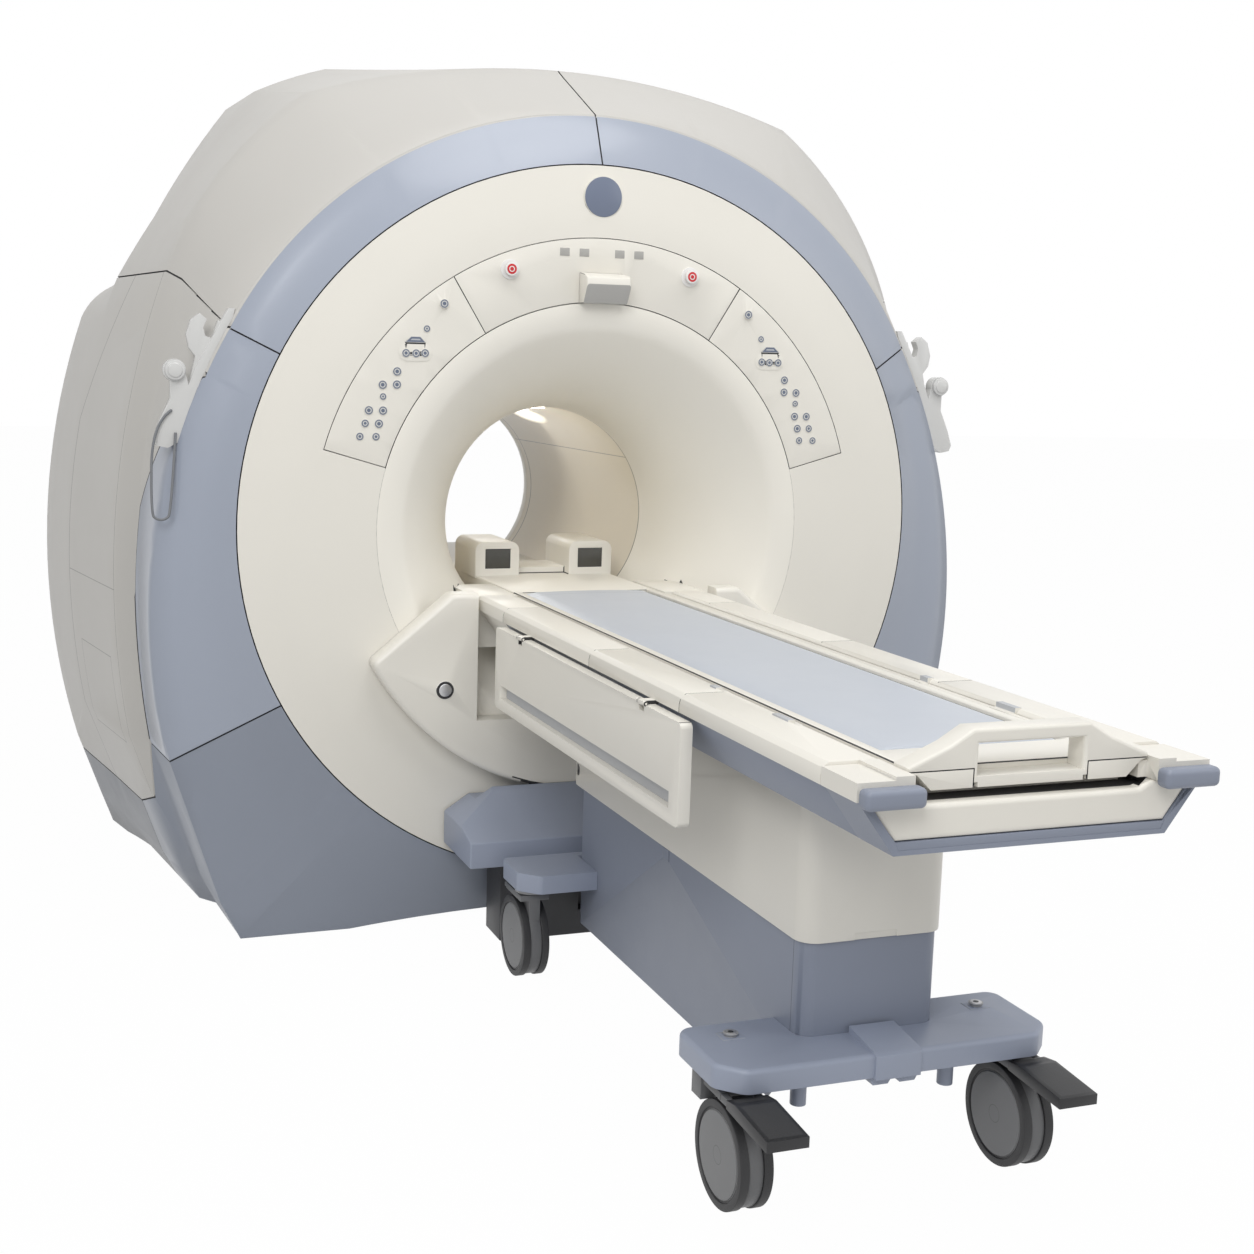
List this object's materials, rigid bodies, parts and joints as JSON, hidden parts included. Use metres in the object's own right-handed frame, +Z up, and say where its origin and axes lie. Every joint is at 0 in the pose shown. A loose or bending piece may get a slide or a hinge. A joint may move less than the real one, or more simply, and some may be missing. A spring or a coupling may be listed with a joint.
{
  "type": "magnetic resonance imaging scanner",
  "caption": "Ring-shaped body scanner with a flared bore, a front console, a docked patient table on casters, folding arm boards and a sliding cradle.",
  "frame": {"origin": "on the floor, at the middle of the rectangle that the scanner and its docked table cover", "axes": "+Z up, +Y along the bore from the patient table to the rear, +X to the right as seen from the table"},
  "size_m": [2.6392, 3.736, 2.328],
  "materials": {
    "face_cream": "satin",
    "ring_blue": "satin",
    "cover_warm": "satin",
    "bore_liner": "satin",
    "table_blue": "satin",
    "pad_blue": "satin",
    "steel": "satin",
    "coil": "satin",
    "caster_grey": "satin",
    "tyre_black": "matte",
    "dark": "matte",
    "window": "gloss",
    "lamp": "gloss",
    "stop_red": "gloss",
    "hanger_grey": "gloss",
    "cord_grey": "satin"
  },
  "bodies": {
    "magnet": {"ring_top_left": "ring_blue", "ring_top_right": "ring_blue", "ring_side_left": "ring_blue", "ring_side_right": "ring_blue", "base_cover": "ring_blue", "base_sides": "ring_blue", "top_cover_left": "cover_warm", "top_cover_right": "cover_warm", "side_panel_left": "cover_warm", "side_panel_right": "cover_warm", "rear_cover": "cover_warm", "front_funnel": "face_cream", "rear_funnel": "face_cream", "bore_tube": "bore_liner", "bore_lamp": "lamp", "body_coil": "coil", "gradient_coil": "coil", "vacuum_vessel": "steel", "main_coils": "coil", "front_face": "face_cream", "console_panel": "face_cream", "control_panels": "face_cream", "laser_visor": "face_cream", "saddle_cover": "face_cream", "dock_unit_cover": "table_blue", "dock_unit_body": "dark", "bridge": "face_cream", "hangers": "hanger_grey", "call_bulbs": "hanger_grey", "hose_loop": "cord_grey"},
    "stop_left": {"stop_button_left": "stop_red"},
    "stop_right": {"stop_button_right": "stop_red"},
    "lock": {"lock_button": "steel"},
    "carriage_body": {"carriage": "face_cream", "coil_sockets": "window"},
    "table_base": {"pedestal_lower": "table_blue", "lift_base": "steel", "base_plates": "table_blue"},
    "table_top": {"head_fairing": "face_cream", "table_frame": "table_blue", "foot_frame": "table_blue", "table_rails": "face_cream", "end_frame": "face_cream", "corner_caps": "table_blue", "pedestal_upper": "face_cream"},
    "cradle_body": {"cradle": "face_cream", "pad": "pad_blue", "foot_handle": "face_cream"},
    "arm_left": {"side_rail_left": "face_cream"},
    "arm_right": {"side_rail_right": "face_cream"},
    "fork_front_left": {"caster_fork_front_left": "caster_grey"},
    "wheel_front_left": {"caster_wheel_front_left": "tyre_black"},
    "brake_front_left": {"brake_pedal_front_left": "dark"},
    "fork_front_right": {"caster_fork_front_right": "caster_grey"},
    "wheel_front_right": {"caster_wheel_front_right": "tyre_black"},
    "brake_front_right": {"brake_pedal_front_right": "dark"},
    "fork_rear_left": {"caster_fork_rear_left": "caster_grey"},
    "wheel_rear_left": {"caster_wheel_rear_left": "tyre_black"},
    "fork_rear_right": {"caster_fork_rear_right": "caster_grey"},
    "wheel_rear_right": {"caster_wheel_rear_right": "tyre_black"}
  },
  "joints": [
    {"name": "stop_left_press", "type": "slide", "parent": "magnet", "child": "stop_left", "axis": [0, 1, 0], "range_m": [0, 0.004], "stiffness_N_per_m": 600, "springref_m": -0.001},
    {"name": "stop_right_press", "type": "slide", "parent": "magnet", "child": "stop_right", "axis": [0, 1, 0], "range_m": [0, 0.004], "stiffness_N_per_m": 600, "springref_m": -0.001},
    {"name": "lock_press", "type": "slide", "parent": "magnet", "child": "lock", "axis": [0, 1, 0], "range_m": [0, 0.003], "stiffness_N_per_m": 600, "springref_m": -0.001},
    {"name": "carriage_slide", "type": "slide", "parent": "magnet", "child": "carriage_body", "axis": [0, 1, 0], "range_m": [0, 1]},
    {"name": "table_dock", "type": "slide", "parent": "magnet", "child": "table_base", "axis": [0, 1, 0], "range_m": [-0.4, 0]},
    {"name": "table_lift", "type": "slide", "parent": "table_base", "child": "table_top", "axis": [0, 0, 1], "range_m": [-0.175, 0]},
    {"name": "cradle_slide", "type": "slide", "parent": "table_top", "child": "cradle_body", "axis": [0, 1, 0], "range_m": [0, 1]},
    {"name": "arm_left_fold", "type": "hinge", "parent": "table_top", "child": "arm_left", "pos_m": [-0.347, -0.675, 0.855], "axis": [0, 1, 0], "range_deg": [0, 180]},
    {"name": "arm_right_fold", "type": "hinge", "parent": "table_top", "child": "arm_right", "pos_m": [0.347, -0.675, 0.855], "axis": [0, -1, 0], "range_deg": [0, 180]},
    {"name": "swivel_front_left", "type": "hinge", "parent": "table_base", "child": "fork_front_left", "pos_m": [-0.29, -1.367, 0.235], "axis": [0, 0, 1], "range_deg": [-150, 25]},
    {"name": "spin_front_left", "type": "hinge", "parent": "fork_front_left", "child": "wheel_front_left", "pos_m": [-0.29, -1.412, 0.0985], "axis": [1, 0, 0], "continuous": true},
    {"name": "brake_press_front_left", "type": "hinge", "parent": "fork_front_left", "child": "brake_front_left", "pos_m": [-0.29, -1.444, 0.2127], "axis": [1, 0, 0], "range_deg": [0, 8]},
    {"name": "swivel_front_right", "type": "hinge", "parent": "table_base", "child": "fork_front_right", "pos_m": [0.29, -1.367, 0.235], "axis": [0, 0, 1], "range_deg": [-25, 150]},
    {"name": "spin_front_right", "type": "hinge", "parent": "fork_front_right", "child": "wheel_front_right", "pos_m": [0.29, -1.412, 0.0985], "axis": [1, 0, 0], "continuous": true},
    {"name": "brake_press_front_right", "type": "hinge", "parent": "fork_front_right", "child": "brake_front_right", "pos_m": [0.29, -1.444, 0.2127], "axis": [1, 0, 0], "range_deg": [0, 8]},
    {"name": "swivel_rear_left", "type": "hinge", "parent": "table_base", "child": "fork_rear_left", "pos_m": [-0.29, -0.252, 0.235], "axis": [0, 0, 1], "continuous": true},
    {"name": "spin_rear_left", "type": "hinge", "parent": "fork_rear_left", "child": "wheel_rear_left", "pos_m": [-0.29, -0.207, 0.0985], "axis": [1, 0, 0], "continuous": true},
    {"name": "swivel_rear_right", "type": "hinge", "parent": "table_base", "child": "fork_rear_right", "pos_m": [0.29, -0.252, 0.235], "axis": [0, 0, 1], "continuous": true},
    {"name": "spin_rear_right", "type": "hinge", "parent": "fork_rear_right", "child": "wheel_rear_right", "pos_m": [0.29, -0.207, 0.0985], "axis": [1, 0, 0], "continuous": true}
  ],
  "couplings": [
    {"joint": "cradle_slide", "follows": "carriage_slide", "ratio": 1}
  ]
}
